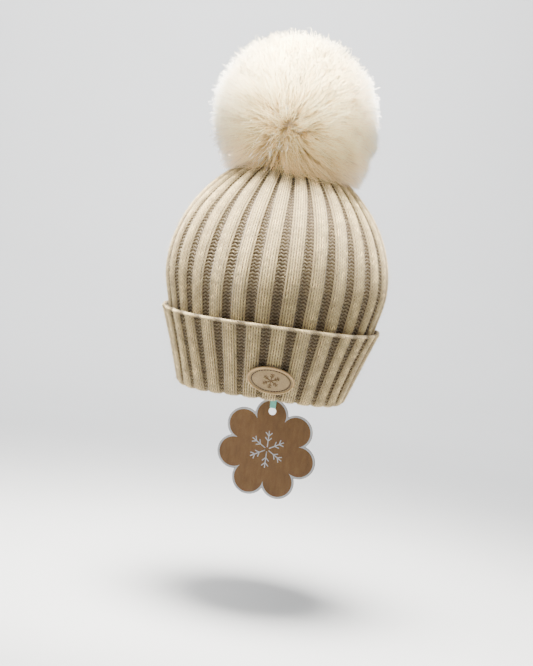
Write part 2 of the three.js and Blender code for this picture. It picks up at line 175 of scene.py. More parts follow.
def make_light():
    world = bpy.data.worlds.new("studio")
    bpy.context.scene.world = world
    world.use_nodes = True
    background = world.node_tree.nodes["Background"]
    background.inputs["Color"].default_value = (0.95, 0.97, 1.0, 1)
    background.inputs["Strength"].default_value = 0.36
    middle = (0, 0, 0.1)
    area_light("overhead", (-0.35, -0.15, 1.5), middle, 1.2, 30, (1.0, 0.985, 0.96))
    area_light("top", (-0.05, -0.05, 0.68), middle, 0.4, 14, (1.0, 0.97, 0.91), spread=75)
    area_light("left", (-1.2, 0.1, 0.7), (0, 0, 0.15), 0.9, 23)
    area_light("right", (1.2, 0.1, 0.7), (0, 0, 0.15), 0.9, 13)
    above_pom = (0, 0, 0.28)
    warm = (1.0, 0.94, 0.84)
    for side in (-1, 1):
        area_light(f"pom_{side}", (0.8 * side, -0.8, 0.6), above_pom, 0.25, 0.36, warm, spread=12)
    area_light("backdrop", (0, 0.7, 1.35), (0, 1.9, 0.9), 0.9, 95)


def make_floor():
    pale = mottled("pale_floor", 0.8, noise(3), (0.44, 0.445, 0.45), (0.46, 0.465, 0.47))
    height = -0.165
    reach = 5.0
    depth = 1.9
    corner = 0.9
    angle = np.linspace(0, TAU / 4, 20)
    bend = zip(depth - corner + corner * np.sin(angle), height + corner - corner * np.cos(angle))
    profile = [(-reach, height), *bend, (depth, height + 4)]
    points = [(x, y, z) for y, z in profile for x in (-reach, reach)]
    mesh_object("floor", points, [grid_faces(len(profile), 2)], pale)


# ------ meshes from arrays


def mesh_object(name, points, faces, made_of, values=None):
    """A smooth mesh object from points, a list of face arrays, and values for each point."""
    points = np.asarray(points, np.float32).reshape(-1, 3)
    corners = np.concatenate([np.asarray(f, np.int32).ravel() for f in faces])
    counts = np.concatenate([np.full(len(f), np.asarray(f).shape[1], np.int32) for f in faces])
    starts = np.concatenate([[0], np.cumsum(counts)[:-1]]).astype(np.int32)
    mesh = bpy.data.meshes.new(name)
    mesh.vertices.add(len(points))
    mesh.vertices.foreach_set("co", points.ravel())
    mesh.loops.add(len(corners))
    mesh.loops.foreach_set("vertex_index", corners)
    mesh.polygons.add(len(counts))
    mesh.polygons.foreach_set("loop_start", starts)
    mesh.update(calc_edges=True)
    for key, value in (values or {}).items():
        layer = mesh.attributes.new(key, "FLOAT", "POINT")
        layer.data.foreach_set("value", np.asarray(value, np.float32).ravel())
    mesh.polygons.foreach_set("use_smooth", np.ones(len(counts), bool))
    mesh.materials.append(made_of)
    piece = bpy.data.objects.new(name, mesh)
    bpy.context.collection.objects.link(piece)
    return piece


def unit(vectors):
    return vectors / np.maximum(np.linalg.norm(vectors, axis=-1, keepdims=True), 1e-12)


def grid_faces(rows, columns, closed_rows=False, closed_columns=False):
    """Quads over a grid of points, which may close on itself either way."""
    index = np.arange(rows * columns).reshape(rows, columns)
    if closed_rows:
        index = np.vstack([index, index[:1]])
    if closed_columns:
        index = np.hstack([index, index[:, :1]])
    quads = [index[:-1, :-1], index[:-1, 1:], index[1:, 1:], index[1:, :-1]]
    return np.stack(quads, -1).reshape(-1, 4)


def tube_object(name, paths, radii, ups, sides, made_of, closed=False, flat=1.0, **values):
    """Tubes round paths of shape (tubes, steps, 3), as one mesh object. Open tubes get caps.

    A flat below 1 squashes the tubes along their ups. Each value is given for each step of the paths.
    """
    if closed:
        tangents = unit(np.roll(paths, -1, 1) - np.roll(paths, 1, 1))
    else:
        tangents = unit(np.gradient(paths, axis=1))
    normals = unit(ups - tangents * np.sum(ups * tangents, -1, keepdims=True))
    binormals = np.cross(tangents, normals)
    angles = TAU * np.arange(sides) / sides
    ring = flat * normals[:, :, None] * np.cos(angles)[:, None]
    ring = ring + binormals[:, :, None] * np.sin(angles)[:, None]
    points = paths[:, :, None] + ring * np.broadcast_to(radii, paths.shape[:2])[..., None, None]
    count, steps = paths.shape[:2]
    index = np.arange(count * steps * sides).reshape(count, steps, sides)
    before, after = (index, np.roll(index, -1, 1)) if closed else (index[:, :-1], index[:, 1:])
    quads = [before, np.roll(before, -1, 2), np.roll(after, -1, 2), after]
    faces = [np.stack(quads, -1).reshape(-1, 4)]
    if not closed:
        faces.append(index[:, 0, ::-1].reshape(-1, sides))
        faces.append(index[:, -1].reshape(-1, sides))
    per_point = {key: np.repeat(np.ravel(value), sides) for key, value in values.items()}
    return mesh_object(name, points, faces, made_of, per_point)


def vertices(mesh):
    points = np.empty(len(mesh.vertices) * 3)
    mesh.vertices.foreach_get("co", points)
    return points.reshape(-1, 3)


def capped_faces(rows, columns):
    """Faces over a tube's grid of points, with one over each end."""
    index = np.arange(rows * columns).reshape(rows, columns)
    return [grid_faces(rows, columns, closed_columns=True), index[0][::-1][None], index[-1][None]]


def thick_sheet(name, front, back, made_of, around=False):
    """A closed sheet between two grids of points, which may run all the way round the hat."""
    rows, columns = front.shape[:2]
    points = np.concatenate([front, back[::-1]])
    faces = [grid_faces(2 * rows, columns, closed_rows=True, closed_columns=around)]
    if not around:
        index = np.arange(2 * rows * columns).reshape(2 * rows, columns)
        for edge, flip in ((0, 1), (columns - 1, -1)):
            near, far = index[:rows, edge], index[rows:, edge][::-1]
            faces.append(np.stack([near[:-1], near[1:], far[1:], far[:-1]], -1)[:, ::flip])
    return mesh_object(name, points, faces, made_of)


def rotated(x, y, angle):
    return x * math.cos(angle) - y * math.sin(angle), x * math.sin(angle) + y * math.cos(angle)


def arc_lengths(line):
    """How far along a line of points each point lies."""
    return np.concatenate([[0], np.cumsum(np.linalg.norm(np.diff(line, axis=0), axis=1))])


def sampled(fine, steps, values):
    """Rows of values known at arc lengths steps, read at arc lengths fine."""
    return np.stack([np.interp(fine, steps, column) for column in values.T], -1)


# ------ material building blocks

# A texture here is a function that adds its nodes to a tree and gives their output.


def node(tree, kind, **settings):
    made = tree.nodes.new(kind)
    for key, value in settings.items():
        if key in made.inputs:
            made.inputs[key].default_value = value
        else:
            setattr(made, key, value)
    return made


def ramp(tree, factor, stops):
    """A colour ramp with stops of (place, linear colour)."""
    made = tree.nodes.new("ShaderNodeValToRGB")
    elements = made.color_ramp.elements
    while len(elements) < len(stops):
        elements.new(0.5)
    for element, (place, colour) in zip(elements, stops):
        element.position = place
        element.color = (*colour, 1)
    tree.links.new(factor, made.inputs["Fac"])
    return made.outputs["Color"]


def texture(kind, output, stretch=(1, 1, 1), **settings):
    """A texture over the object's coordinates, which may be stretched along the axes."""

    def add_to(tree):
        where = tree.nodes.new("ShaderNodeTexCoord")
        mapping = node(tree, "ShaderNodeMapping", Scale=stretch)
        tree.links.new(where.outputs["Object"], mapping.inputs["Vector"])
        made = node(tree, kind, **settings)
        tree.links.new(mapping.outputs["Vector"], made.inputs["Vector"])
        return made.outputs[output]

    return add_to


def noise(scale, detail=4.0, stretch=(1, 1, 1)):
    return texture("ShaderNodeTexNoise", "Fac", stretch, Scale=scale, Detail=detail, Roughness=0.6)


def cells(scale):
    return texture("ShaderNodeTexVoronoi", "Distance", Scale=scale)


def bands(scale, direction="Z"):
    return texture("ShaderNodeTexWave", "Fac", Scale=scale, bands_direction=direction)


def attribute(name):
    return lambda tree: node(tree, "ShaderNodeAttribute", attribute_name=name).outputs["Fac"]


def blended(*weighted):
    """The sum of textures times their weights."""

    def add_to(tree):
        total = None
        for value, weight in weighted:
            added = node(tree, "ShaderNodeMath", operation="MULTIPLY_ADD")
            tree.links.new(value(tree), added.inputs[0])
            added.inputs[1].default_value = weight
            added.inputs[2].default_value = 0
            if total is not None:
                tree.links.new(total, added.inputs[2])
            total = added.outputs[0]
        return total

    return add_to


def patterned(name, roughness, value, stops, relief=None, sheen=0.0, metallic=0.0):
    """A material coloured by a texture through stops. A relief is (texture, strength, distance)."""
    made = bpy.data.materials.new(name)
    made.use_nodes = True
    tree = made.node_tree
    shader = tree.nodes["Principled BSDF"]
    sockets = {"Roughness": roughness, "Sheen Weight": sheen, "Sheen Roughness": 0.5, "Metallic": metallic}
    for socket, setting in sockets.items():
        shader.inputs[socket].default_value = setting
    tree.links.new(ramp(tree, value(tree), stops), shader.inputs["Base Color"])
    if relief is not None:
        height, strength, distance = relief
        bump = node(tree, "ShaderNodeBump", Strength=strength, Distance=distance)
        tree.links.new(height(tree), bump.inputs["Height"])
        tree.links.new(bump.outputs["Normal"], shader.inputs["Normal"])
    return made


def mottled(name, roughness, value, dark, light, relief=None, sheen=0.0, metallic=0.0):
    """A material that a texture mottles between two colours."""
    return patterned(name, roughness, value, [(0.3, dark), (0.7, light)], relief, sheen, metallic)


# ------ the materials


def yarn_material():
    """Heathered oatmeal yarn, with painted shade: darker where it dips between its neighbours or passes
    behind them.
    """
    # The depth attribute is painted shade: its darker stops stand in for the shade in the valleys and
    # behind neighbouring loops.
    value = blended((attribute("depth"), 0.85), (noise(2600), 0.4), (attribute("tone"), 0.05))
    stops = [
        (0.14, (0.96, 0.74, 0.345)),
        (0.32, (0.45, 0.34, 0.165)),
        (0.55, (0.21, 0.155, 0.078)),
        (0.9, (0.055, 0.04, 0.022)),
    ]
    return patterned("oatmeal_yarn", 0.95, value, stops, (noise(2400, 2), 0.5, 0.4 * MM), sheen=0.25)


def ground_material():
    relief = (noise(1500), 0.6, 0.6 * MM)
    return mottled("yarn_in_shade", 1.0, noise(700), (0.05, 0.033, 0.017), (0.11, 0.075, 0.04), relief)


def fur_material():
    """Cream pile, tan at its roots, with painted shade on the strands low on the pom."""
    value = blended((attribute("along"), 0.85), (attribute("tone"), 0.22))
    stops = [
        (0.05, (0.48, 0.25, 0.07)),
        (0.32, (0.92, 0.59, 0.20)),
        (0.55, (1.0, 0.79, 0.36)),
        (0.85, (1.0, 0.89, 0.52)),
    ]
    return patterned("cream_faux_fur", 0.6, value, stops, sheen=1.0)


def undercoat_material():
    relief = (noise(500), 1.0, 2 * MM)
    return mottled("fur_undercoat", 0.9, noise(160), (0.62, 0.42, 0.21), (0.90, 0.70, 0.44), relief, 0.3)


def fleece_material():
    value = blended((noise(350), 0.6), (cells(450), 0.5))
    stops = [(0.25, (0.66, 0.58, 0.44)), (0.7, (0.90, 0.85, 0.74))]
    return patterned("cream_fleece", 1.0, value, stops, (noise(700, 6), 1.0, 1.2 * MM), sheen=0.6)


def thread_material(name, dark, light):
    relief = (bands(900, "DIAGONAL"), 0.5, 0.1 * MM)
    return mottled(name, 0.7, noise(2500, 2), dark, light, relief, sheen=0.2)


def leatherette_material(name, light, dark):
    """Grained leatherette, darkest where it is pressed."""
    value = blended((noise(260), 0.5), (cells(1400), 0.25), (attribute("pressed"), 0.6))
    stops = [(0.2, light), (0.5, dark), (0.9, (0.13, 0.075, 0.03))]
    return patterned(name, 0.62, value, stops, (cells(1300), 0.55, 0.25 * MM))


def satin_material():
    stops = [(0.2, (0.82, 0.81, 0.78)), (0.8, (0.93, 0.92, 0.90))]
    relief = (bands(1600, "Z"), 0.3, 0.05 * MM)
    return patterned("white_satin", 0.38, bands(1600, "X"), stops, relief, sheen=0.3)


def felt_material():
    relief = (noise(1600, 6), 1.0, 0.4 * MM)
    return mottled("pressed_felt", 1.0, noise(900, 6), (0.38, 0.31, 0.22), (0.58, 0.50, 0.38), relief, 0.4)


def metal_material(name, dark, light, roughness):
    relief = (noise(1800, 2, (1, 1, 12)), 0.15, 0.05 * MM)
    return mottled(name, roughness, noise(400, 3, (1, 1, 8)), dark, light, relief, metallic=1.0)


def plastic_material():
    relief = (noise(900), 0.25, 0.1 * MM)
    return mottled("moulded_disc", 0.45, noise(120), (0.76, 0.73, 0.66), (0.84, 0.81, 0.74), relief)


def stuffing_material():
    relief = (noise(500, 8), 1.0, 1.5 * MM)
    return mottled("loose_fibre", 1.0, noise(220, 8), (0.78, 0.78, 0.75), (0.95, 0.95, 0.93), relief, 0.3)


def ribbon_material():
    value = blended((bands(620, "Z"), 0.5), (noise(1500), 0.5))
    stops = [(0.25, (0.06, 0.30, 0.24)), (0.75, (0.22, 0.62, 0.50))]
    return patterned("teal_grosgrain", 0.55, value, stops, (bands(620, "Z"), 0.5, 0.12 * MM), sheen=0.2)


def kraft_material():
    value = blended((noise(240, 8, (1, 1, 0.35)), 0.7), (noise(1500, 3), 0.3))
    stops = [(0.3, (0.085, 0.042, 0.013)), (0.5, (0.115, 0.058, 0.019)), (0.72, (0.155, 0.082, 0.030))]
    return patterned("kraft_card", 0.85, value, stops, (noise(1800, 4), 0.3, 0.1 * MM))


def card_print_material():
    relief = (noise(1800, 4), 0.2, 0.05 * MM)
    return mottled("silver_grey_print", 0.5, noise(500), (0.27, 0.28, 0.29), (0.35, 0.36, 0.37), relief)


# ------ the knit's surfaces


def on_slant(out, up):
    """A point (radius, height) on the cuff's slant, out from the fold's centre line."""
    radius = FOLD_RADIUS + out * math.cos(LEAN) + up * math.sin(LEAN)
    height = FOLD_HEIGHT - out * math.sin(LEAN) + up * math.cos(LEAN)
    return np.array([radius, height])


def catmull_rom(points, steps):
    """A smooth line through points, with steps to each span."""
    points = np.asarray(points, float)
    ends = np.vstack([2 * points[0] - points[1], points, 2 * points[-1] - points[-2]])
    share = np.linspace(0, 1, steps, endpoint=False)[:, None]
    spans = []
    for a, b, c, d in zip(ends, ends[1:], ends[2:], ends[3:]):
        steepness = c - a
        bend = 2 * a - 5 * b + 4 * c - d
        twist = 3 * b - a - 3 * c + d
        spans.append(b + 0.5 * (steepness * share + bend * share**2 + twist * share**3))
    return np.vstack([*spans, points[-1:]])


def relaxed(points):
    """Lets the hat's cloth sit a little unevenly, as soft knit does."""
    angle = np.arctan2(points[..., 0], -points[..., 1])
    radius = np.hypot(points[..., 0], points[..., 1])
    height = points[..., 2]
    swell = 0.7 * np.sin(3 * angle + 40 * height + 0.6) + 0.5 * np.sin(5 * angle - 55 * height + 1.3)
    swell = swell * MM * np.clip(radius / (60 * MM), 0, 1)
    lift = 1.3 * MM * np.cos(3 * angle + 0.25) * np.clip(1 - height / (120 * MM), 0, 1)
    scale = 1 + swell / np.maximum(radius, 10 * MM)
    return np.stack([points[..., 0] * scale, points[..., 1] * scale, height + lift], -1)


class Surface:
    """A surface of revolution along a line of (radius, height), seen from its right side."""

    def __init__(self, line, flipped=False):
        self.arc = arc_lengths(line)
        self.line = line
        tangent = unit(np.gradient(line, self.arc, axis=0))
        self.normal = np.stack([tangent[:, 1], -tangent[:, 0]], -1) * (-1 if flipped else 1)
        self.length = self.arc[-1]
        self.fold = self.arc[int(np.argmin(line[:, 1]))]

    def relief(self, s):
        """How much of the rib's depth shows: less where the cuff folds."""
        return 1 - 0.55 * np.exp(-(((s - self.fold) / (11 * MM)) ** 2))

    def moved(self, distance):
        return Surface(self.line + self.normal * distance)

    def radius(self, s):
        return np.interp(s, self.arc, self.line[:, 0])

    def facing(self, s):
        return [np.interp(s, self.arc, part) for part in self.normal.T]

    def at_height(self, height):
        return float(np.interp(height, self.line[:, 1], self.arc))

    def place(self, s, angle, out):
        """Points at arc lengths s, angles round from the front, and distances out."""
        across, up = self.facing(s)
        radius = self.radius(s) + out * across
        height = np.interp(s, self.arc, self.line[:, 1]) + out * up
        return relaxed(np.stack([radius * np.sin(angle), -radius * np.cos(angle), height + 0 * angle], -1))

    def outward(self, s, angle):
        across, up = self.facing(s)
        return np.stack([across * np.sin(angle), -across * np.cos(angle), up + 0 * angle], -1)


def body_middle():
    """The knit's middle line from the fold to the gathered crown."""
    curve = catmull_rom([on_slant(-TURN, CUFF_HEIGHT + 1 * MM), *BODY_SHAPE], 24)
    flare = [on_slant(-TURN, up * MM) for up in np.linspace(0, 56, 20)]
    return Surface(np.vstack([flare, curve]))


def cuff_outside():
    """The cuff's outside from its top edge down, round the fold and up inside the brim."""
    half = KNIT / 2
    outside = [on_slant(TURN + half, up * MM) for up in np.linspace(CUFF_HEIGHT / MM, 2, 30)]
    angle = np.linspace(-LEAN, -LEAN - math.pi, 24)
    fold = (TURN + half) * np.stack([np.cos(angle), np.sin(angle)], -1) + (FOLD_RADIUS, FOLD_HEIGHT)
    inside = [on_slant(-TURN - half, up * MM) for up in np.linspace(2, 15, 8)]
    return Surface(np.vstack([outside, fold, inside]), flipped=True)


# ------ the knit's stitches


def narrowness(surface, s):
    """How wide a rib is, 1 where relaxed and less where the crown draws it in."""
    return np.clip(TAU * surface.radius(s) / RIBS / PITCH, 0.05, 1)


def yarn_width(narrow):
    return np.maximum(narrow, 0.15) ** 0.45


def across_rib(q, narrow):
    """Turns wale coordinate q into ribs round the hat: valleys close up where it narrows."""
    share = np.interp(narrow, [0.2, 0.5, 0.75, 1], [0.88, 0.82, 0.73, 0.60])
    rib = np.floor(q / WALES)
    local = q - rib * WALES
    on_rib = local / KNIT_WALES * share
    in_valley = share + (local - KNIT_WALES) / PURL_WALES * (1 - share)
    return rib + np.where(local < KNIT_WALES, on_rib, in_valley)


def rib_sink(q, narrow):
    """How deep the knit's face lies below the ribs' tops, at wale coordinate q."""
    local = q % WALES
    on_rib = (local - KNIT_WALES / 2) / (KNIT_WALES / 2)
    in_valley = (local - KNIT_WALES - PURL_WALES / 2) / (PURL_WALES / 2)
    shoulder = 0.36
    rib = shoulder * np.abs(on_rib) ** 2
    valley = 1 - (1 - shoulder) * np.abs(in_valley) ** 3
    depth = np.where(local < KNIT_WALES, rib, valley)
    return RIB_DEPTH * depth * np.interp(narrow, [0.05, 0.3], [0.25, 1])


def face_side(q):
    """+1 on knit wales, -1 on purl wales, with a short smooth change between them."""
    local = q % WALES
    middle = KNIT_WALES / 2
    distance = np.abs(local - middle)
    distance = np.minimum(distance, WALES - distance)
    return np.clip((middle - distance) / 0.22, -1, 1)


def uneven(rows, steps, samples):
    """A slow random wobble along each course, about 1 in size."""
    wobble = np.repeat(random.normal(0, 1, (rows, steps // samples)), samples, 1)
    return (wobble + np.roll(wobble, samples // 2, 1)) / 2


def yarn_courses(surface, first, last, phase, samples=10):
    """Every course of yarn between two arc lengths: paths, radii, ups, tones and depths, the depths being
    painted shade.
    """
    levels = np.arange(first, last, COURSE)
    steps = RIBS * WALES * samples
    u = np.arange(steps) / samples
    turn = TAU * (u % 1)
    wobble = uneven(len(levels), steps, samples)
    s = levels[:, None] - LOOP * np.cos(turn) + 0.05 * COURSE * wobble
    s = np.clip(s, 0, surface.length)
    narrow = narrowness(surface, s)
    q = u + 0.22 * np.sin(2 * turn)
    angle = TAU / RIBS * (across_rib(q, narrow) + phase)
    yarn = YARN * yarn_width(narrow) * (1 + 0.06 * wobble)
    behind = yarn * (1 + face_side(u) * np.cos(2 * turn))
    sink = rib_sink(q, narrow) * surface.relief(s)
    paths = surface.place(s, angle, -yarn - sink - behind)
    # Painted shade: the yarn's colour darkens with how deep it sinks below the ribs' tops and how far it
    # passes behind its neighbours.
    depth = 0.5 * sink / RIB_DEPTH + 0.5 * (behind / (2 * yarn)) ** 0.65
    return paths, yarn, surface.outward(s, angle), wobble, depth


def stitches(name, surface, first, last, phase, parts):
    """The courses as mesh pieces, some rows in each."""
    courses = yarn_courses(surface, first, last, phase)
    pieces = []
    for part, rows in enumerate(np.array_split(np.arange(len(courses[0])), parts)):
        paths, yarn, ups, tone, depth = (values[rows] for values in courses)
        piece = f"{name}_{part + 1}"
        # The depth values go into the mesh as painted shade for the yarn's colour.
        pieces.append(tube_object(piece, paths, yarn, ups, 5, YARN_MATERIAL, True, tone=tone, depth=depth))
    return pieces


def ground(name, surface, first, last, phase, rows):
    """The closed sheet just behind the stitches, ribbed as they are."""
    columns = RIBS * 16
    s = np.linspace(first, last, rows)[:, None]
    q = np.arange(columns) * WALES / 16
    narrow = narrowness(surface, s)
    angle = TAU / RIBS * (across_rib(q, narrow) + phase)
    sink = rib_sink(q, narrow) * surface.relief(s)
    front = surface.place(s, angle, -2.3 * YARN * yarn_width(narrow) - 0.85 * sink)
    back = surface.place(s, angle, -KNIT - 0.5 * MM)
    return thick_sheet(name, front, back, GROUND_MATERIAL, around=True)


def fuzz(name, surface, first, last, phase, count):
    """Fine short fibres that stand off the ribs' yarn."""
    s = random.uniform(first, last, count)
    s = s[random.random(count) < surface.radius(s) / surface.radius(s).max()]
    count = len(s)
    wale = random.integers(0, RIBS, count) * WALES + random.uniform(0, KNIT_WALES, count)
    angle = TAU / RIBS * (across_rib(wale, narrowness(surface, s)) + phase)
    outward = surface.outward(s, angle)
    root = surface.place(s, angle, -1.6 * MM)
    lean = unit(outward + random.normal(0, 0.9, (count, 3)))
    length = random.uniform(2.0, 4.2, (count, 1)) * MM
    bend = random.normal(0, 0.35, (count, 3)) * length
    share = np.linspace(0, 1, 4)[None, :, None]
    paths = root[:, None] + (lean * length)[:, None] * share + bend[:, None] * share**2
    width = np.array([0.07, 0.06, 0.045, 0.015]) * MM
    tone = random.normal(0, 0.6, (count, 1)) + 0 * width
    # The fibres get a light, even touch of the yarn's painted shade through a fixed depth.
    return tube_object(name, paths, width, STRAND_UP, 3, YARN_MATERIAL, tone=tone, depth=0 * tone + 0.12)


def bound_edge(phase):
    """The cuff's chained top edge: two strands twisted once for every wale."""
    samples = 12
    steps = RIBS * WALES * samples
    u = np.arange(steps) / samples
    s = 0 * u
    narrow = narrowness(CUFF, s)
    angle = TAU / RIBS * (across_rib(u, narrow) + phase)
    sink = rib_sink(u, narrow)
    strands = []
    depths = []
    for strand in range(2):
        twist = TAU * (u + strand / 2)
        # Painted shade: each strand darkens where it sinks into a valley and where it twists behind the
        # other.
        depths.append(0.1 + 0.3 * sink / RIB_DEPTH + 0.35 * (0.5 - 0.5 * np.cos(twist)))
        out = -1.2 * MM - 0.75 * sink + 0.7 * MM * np.cos(twist)
        down = 0.25 * sink - 0.3 * MM + 0.7 * MM * np.sin(twist)
        place = CUFF.place(np.maximum(down, 0), angle, out)
        place[..., 2] -= np.minimum(down, 0)
        strands.append(place)
    ups = CUFF.outward(s, angle)
    wobble = uneven(2, steps, samples)
    width = 0.78 * MM * (1 + 0.06 * wobble)
    values = {"tone": wobble, "depth": depths}
    return tube_object("cuff_bound_edge", np.array(strands), width, ups, 6, YARN_MATERIAL, True, **values)


def follow_crown(piece):
    """Bakes a piece's transform into its mesh."""
    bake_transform(piece)


def build_knit():
    cuff_phase = -0.3
    body_phase = -0.05
    cuff = stitches("cuff_stitches", CUFF, 2 * MM, CUFF.length, cuff_phase, parts=4)
    cuff.append(ground("cuff_ground", CUFF, 0.8 * MM, CUFF.length, cuff_phase, 60))
    cuff.append(bound_edge(cuff_phase))
    cuff.append(fuzz("cuff_fuzz", CUFF, 0, CUFF.length - 12 * MM, cuff_phase, 7000))
    for piece in cuff:
        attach(piece, "hat")
    outside = body_middle().moved(KNIT / 2)
    first = outside.at_height(46 * MM)
    body = stitches("body_stitches", outside, first, outside.length - 1 * MM, body_phase, parts=7)
    body.append(ground("body_ground", outside, 12 * MM, outside.length, body_phase, 110))
    bare = outside.at_height(64 * MM)
    body.append(fuzz("body_fuzz", outside, bare, outside.length - 8 * MM, body_phase, 11000))
    for piece in body:
        follow_crown(piece)
    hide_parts("knit_tube")


# ------ the pom


def pom_reach(direction):
    """How far the fur reaches from the pom's centre in unit directions."""
    tall = np.where(direction[..., 2] > 0, POM_RISE, POM_SKIRT)
    flat = np.linalg.norm(direction[..., :2], axis=-1)
    return 1 / np.sqrt((flat / POM_RADIUS) ** 2 + (direction[..., 2] / tall) ** 2)


def sphere_points(count):
    """Evenly spread directions."""
    i = np.arange(count) + 0.5
    height = 1 - 2 * i / count
    turn = TAU * i * (math.sqrt(5) - 1) / 2
    flat = np.sqrt(1 - height**2)
    return np.stack([flat * np.cos(turn), flat * np.sin(turn), height], -1)


def nearest(points, targets):
    tree = KDTree(len(targets))
    for i, target in enumerate(targets):
        tree.insert(target, i)
    tree.balance()
    return np.array([tree.find(point)[1] for point in points])


def combed(direction):
    """Where strands rooted in these directions point: away from the parting, and down a little."""
    parting = unit(PARTING)
    toward = direction @ parting
    away = unit(toward[:, None] * direction - parting)
    off = np.arccos(np.clip(toward, -1, 1))
    strength = 0.6 * np.exp(-((off / 1.2) ** 2)) * np.clip(off / 0.4, 0, 1)
    down = np.array([0, 0, -0.16]) * (1 - direction[:, 2:] ** 2)
    return unit(direction + strength[:, None] * away + down)


def crown_height(radius):
    """Height of the crown's outside at a radius."""
    line = body_middle().moved(KNIT / 2).line[::-1]
    crown = line[: int(np.argmax(line[:, 0]))]
    return np.interp(radius, crown[:, 0], crown[:, 1])


def fur_paths(count, steps):
    direction = unit(sphere_points(count) + random.normal(0, 0.02, (count, 3)))
    clumps = sphere_points(1300)
    clump = nearest(direction, clumps)
    lean = combed(direction)
    gathered = unit(combed(clumps) + random.normal(0, 0.09, clumps.shape))[clump]
    gather = random.uniform(0.35, 0.8, len(clumps))[clump][:, None]
    tip_direction = unit(lean + (gathered - lean) * gather + random.normal(0, 0.055, (count, 3)))
    length = random.uniform(0.93, 1.03, len(clumps))[clump] * random.uniform(0.84, 1.0, count)
    length = length + np.where(random.random(count) > 0.94, 0.05, 0)
    root = direction * (0.55 * pom_reach(direction))[:, None]
    tip = tip_direction * (length * pom_reach(tip_direction))[:, None]
    slump = np.zeros((count, 3))
    slump[:, 0] = (-4 + 8 * np.clip(-tip_direction[:, 2], 0, 1)) * MM
    belly = direction * (0.16 * pom_reach(direction))[:, None]
    belly = belly + random.normal(0, 1.6 * MM, (count, 3))
    share = np.linspace(0, 1, steps)[None, :, None]
    paths = root[:, None] * (1 - share) + (tip + slump)[:, None] * share
    paths = POM_CENTRE + paths + belly[:, None] * (4 * share * (1 - share))
    floor = crown_height(np.linalg.norm(paths[..., :2], axis=-1)) + 1.5 * MM
    paths[..., 2] = np.maximum(paths[..., 2], floor + random.uniform(0, 3 * MM, (count, 1)))
    return paths


def build_fur():
    count = 60000
    steps = 5
    paths = fur_paths(count, steps)
    share = np.linspace(0, 1, steps)
    width = np.interp(share, [0, 0.55, 1], [0.2, 0.17, 0.03]) * MM
    tone = random.normal(0, 0.5, (count, 1)) + 0 * share
    # Painted shade: strands low on the pom, over the crown, lose most of their light tips, standing in for
    # the shadow under the pom.
    low = np.clip((POM_CENTRE[2] - 14 * MM - paths[..., 2]) / (40 * MM), 0, 1)
    shade = share * (1 - 0.65 * low)
    fur = fur_material()
    pieces = []
    for part, rows in enumerate(np.array_split(np.arange(count), 10)):
        values = {"along": shade[rows], "tone": tone[rows]}
        piece = tube_object(f"pom_pile_{part + 1}", paths[rows], width, STRAND_UP, 3, fur, **values)
        piece.data.normals_split_custom_set_from_vertices(unit(vertices(piece.data) - POM_CENTRE))
        pieces.append(piece)
    return pieces


def lumpy_ball(name, reach, centre, floor, lumps, made_of):
    """A closed ball whose surface reaches reach(direction), with lumps, above a floor."""
    around, up = 96, 60
    angle = TAU * np.arange(around) / around
    tilt = np.linspace(-math.pi / 2, math.pi / 2, up + 2)[1:-1, None]
    flat = np.cos(tilt)
    direction = np.stack([flat * np.cos(angle), flat * np.sin(angle), np.sin(tilt) + 0 * angle], -1)
    bulge = 1 + lumps * random.normal(0, 1, (up, around, 1))
    points = centre + direction * reach(direction)[..., None] * bulge
    radius = np.linalg.norm(points[..., :2], axis=-1)
    points[..., 2] = np.maximum(points[..., 2], floor(radius))
    return mesh_object(name, points, capped_faces(up, around), made_of)


def build_pom():
    undercoat = lumpy_ball(
        "pom_undercoat",
        lambda direction: 0.7 * pom_reach(direction),
        POM_CENTRE,
        lambda radius: crown_height(radius) + 7 * MM,
        0.03,
        undercoat_material(),
    )
    low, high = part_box("pom_stuffing")
    size = high[0]
    stuffing = lumpy_ball(
        "stuffing_fibre",
        lambda direction: size * 0.98 + 0 * direction[..., 0],
        np.array([0, 0, high[2] - size]),
        lambda radius: low[2] + 0 * radius,
        0.008,
        stuffing_material(),
    )
    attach(stuffing, "pom")
    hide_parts("pom_stuffing")
    for piece in [*build_fur(), undercoat]:
        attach(piece, "pom")
        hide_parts("pom_fur")


# ------ the patch


def wrapped_on_cuff(points):
    """Bends flat points (along, up, out) round the cuff, about the patch's seat."""
    seat = on_slant(TURN + KNIT / 2 + 0.3 * MM, PATCH_RISE)
    along, up = rotated(points[..., 0], points[..., 1], PATCH_TURN)
    out = points[..., 2]
    reach = seat[0] + up * math.sin(LEAN) + out * math.cos(LEAN)
    angle = along / seat[0]
    height = seat[1] + up * math.cos(LEAN) - out * math.sin(LEAN)
    return relaxed(np.stack([reach * np.sin(angle), -reach * np.cos(angle), height], -1))


def snowflake_depth(x, y, size, width):
    """1 on the lines of a six-armed snowflake and 0 away from them."""
    depth = np.zeros_like(x)
    for arm in range(6):
        turn = TAU * arm / 6 + TAU / 12
        along, across = rotated(x, y, -turn)
        across = np.abs(across)
        stem = np.where((along > 0) & (along < size), across, 1)
        for start in TWIGS:
            twig = np.abs(across - (along - start * size)) / math.sqrt(2)
            reach = (along > start * size) & (along < (start + 0.2) * size)
            stem = np.minimum(stem, np.where(reach, twig, 1))
        depth = np.maximum(depth, np.clip(1.5 - stem / width, 0, 1))
    return depth


